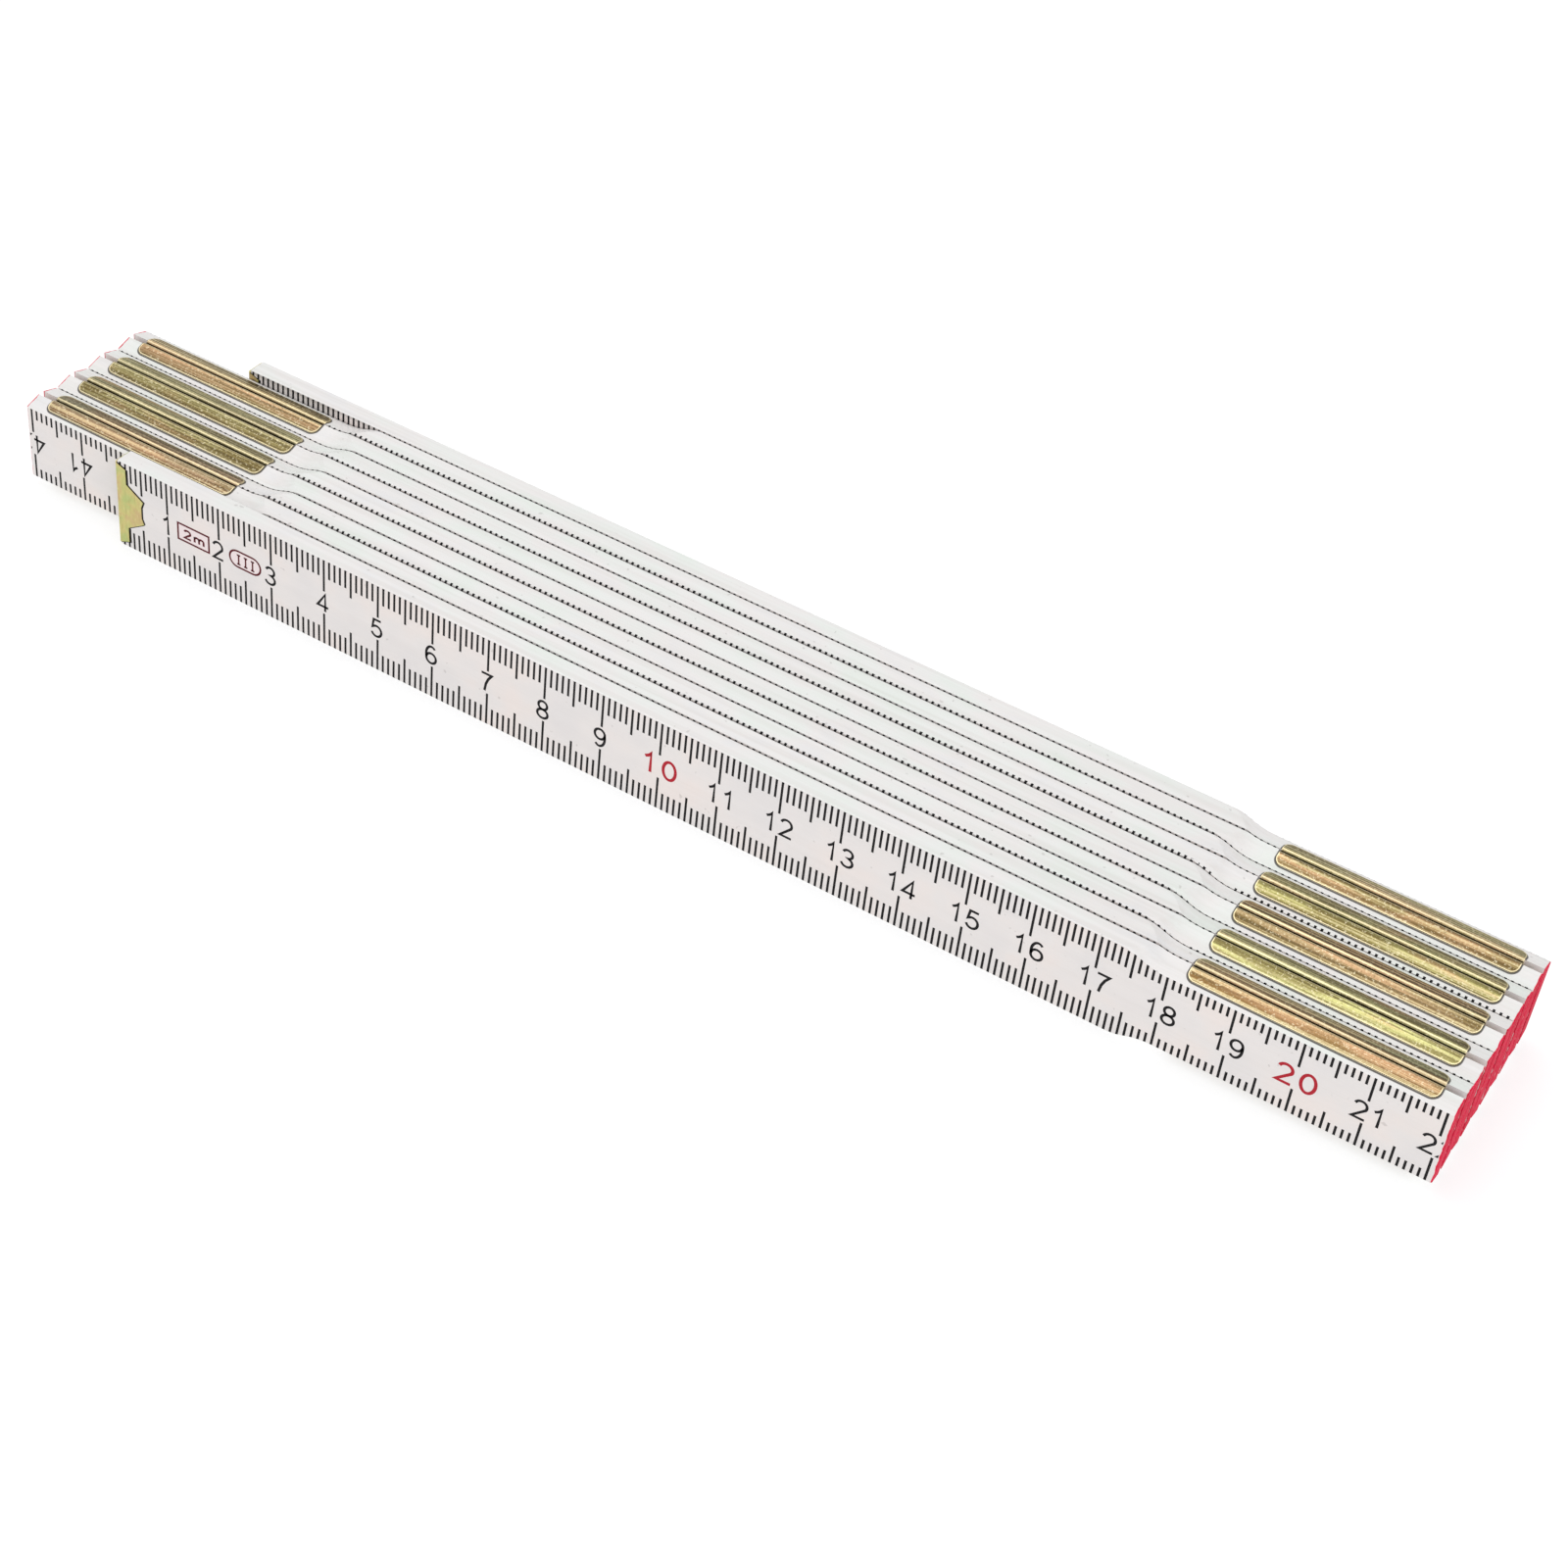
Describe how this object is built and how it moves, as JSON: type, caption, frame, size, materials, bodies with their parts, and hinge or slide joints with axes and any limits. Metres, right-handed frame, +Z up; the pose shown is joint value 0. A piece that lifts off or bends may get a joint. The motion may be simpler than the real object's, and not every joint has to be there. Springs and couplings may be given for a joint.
{
  "type": "folding rule",
  "caption": "Two-metre wooden folding rule, folded shut and standing on its narrow edges; flat white slats turn on pressed metal hinge clips.",
  "frame": {"origin": "under the middle of the folded stack, on the surface that the slats' narrow edges stand on", "axes": "+X along the slats, from the end with the zero mark towards the first hinge; +Y through the stack, from the slat with the zero mark to the last slat; +Z up"},
  "size_m": [0.242, 0.0348, 0.016],
  "materials": {
    "slat_wood": "white lacquer with a printed black and red millimetre scale, red end faces",
    "clip_steel": "yellow chromate over zinc, slightly iridescent",
    "rivet_steel": "bare",
    "spring_steel": "blued",
    "cap_brass": "satin"
  },
  "bodies": {
    "link_01": {"slat_01": "slat_wood", "clip_front_01": "clip_steel", "pivot_rivet_01": "rivet_steel", "spring_washer_01": "spring_steel", "end_cap_zero": "cap_brass"},
    "link_02": {"slat_02": "slat_wood", "clip_back_01": "clip_steel", "clip_front_02": "clip_steel", "pivot_rivet_02": "rivet_steel", "spring_washer_02": "spring_steel"},
    "link_03": {"slat_03": "slat_wood", "clip_back_02": "clip_steel", "clip_front_03": "clip_steel", "pivot_rivet_03": "rivet_steel", "spring_washer_03": "spring_steel"},
    "link_04": {"slat_04": "slat_wood", "clip_back_03": "clip_steel", "clip_front_04": "clip_steel", "pivot_rivet_04": "rivet_steel", "spring_washer_04": "spring_steel"},
    "link_05": {"slat_05": "slat_wood", "clip_back_04": "clip_steel", "clip_front_05": "clip_steel", "pivot_rivet_05": "rivet_steel", "spring_washer_05": "spring_steel"},
    "link_06": {"slat_06": "slat_wood", "clip_back_05": "clip_steel", "clip_front_06": "clip_steel", "pivot_rivet_06": "rivet_steel", "spring_washer_06": "spring_steel"},
    "link_07": {"slat_07": "slat_wood", "clip_back_06": "clip_steel", "clip_front_07": "clip_steel", "pivot_rivet_07": "rivet_steel", "spring_washer_07": "spring_steel"},
    "link_08": {"slat_08": "slat_wood", "clip_back_07": "clip_steel", "clip_front_08": "clip_steel", "pivot_rivet_08": "rivet_steel", "spring_washer_08": "spring_steel"},
    "link_09": {"slat_09": "slat_wood", "clip_back_08": "clip_steel", "clip_front_09": "clip_steel", "pivot_rivet_09": "rivet_steel", "spring_washer_09": "spring_steel"},
    "link_10": {"slat_10": "slat_wood", "clip_back_09": "clip_steel", "end_cap_last": "cap_brass"}
  },
  "joints": [
    {"name": "hinge_01", "type": "hinge", "parent": "link_01", "child": "link_02", "pos_m": [0.1, -0.014, 0.008], "axis": [0, 1, 0], "range_deg": [-180, 180]},
    {"name": "hinge_02", "type": "hinge", "parent": "link_02", "child": "link_03", "pos_m": [-0.1, -0.0105, 0.008], "axis": [0, 1, 0], "range_deg": [-180, 180]},
    {"name": "hinge_03", "type": "hinge", "parent": "link_03", "child": "link_04", "pos_m": [0.1, -0.007, 0.008], "axis": [0, 1, 0], "range_deg": [-180, 180]},
    {"name": "hinge_04", "type": "hinge", "parent": "link_04", "child": "link_05", "pos_m": [-0.1, -0.0035, 0.008], "axis": [0, 1, 0], "range_deg": [-180, 180]},
    {"name": "hinge_05", "type": "hinge", "parent": "link_05", "child": "link_06", "pos_m": [0.1, 0, 0.008], "axis": [0, 1, 0], "range_deg": [-180, 180]},
    {"name": "hinge_06", "type": "hinge", "parent": "link_06", "child": "link_07", "pos_m": [-0.1, 0.0035, 0.008], "axis": [0, 1, 0], "range_deg": [-180, 180]},
    {"name": "hinge_07", "type": "hinge", "parent": "link_07", "child": "link_08", "pos_m": [0.1, 0.007, 0.008], "axis": [0, 1, 0], "range_deg": [-180, 180]},
    {"name": "hinge_08", "type": "hinge", "parent": "link_08", "child": "link_09", "pos_m": [-0.1, 0.0105, 0.008], "axis": [0, 1, 0], "range_deg": [-180, 180]},
    {"name": "hinge_09", "type": "hinge", "parent": "link_09", "child": "link_10", "pos_m": [0.1, 0.014, 0.008], "axis": [0, 1, 0], "range_deg": [-180, 180]}
  ]
}
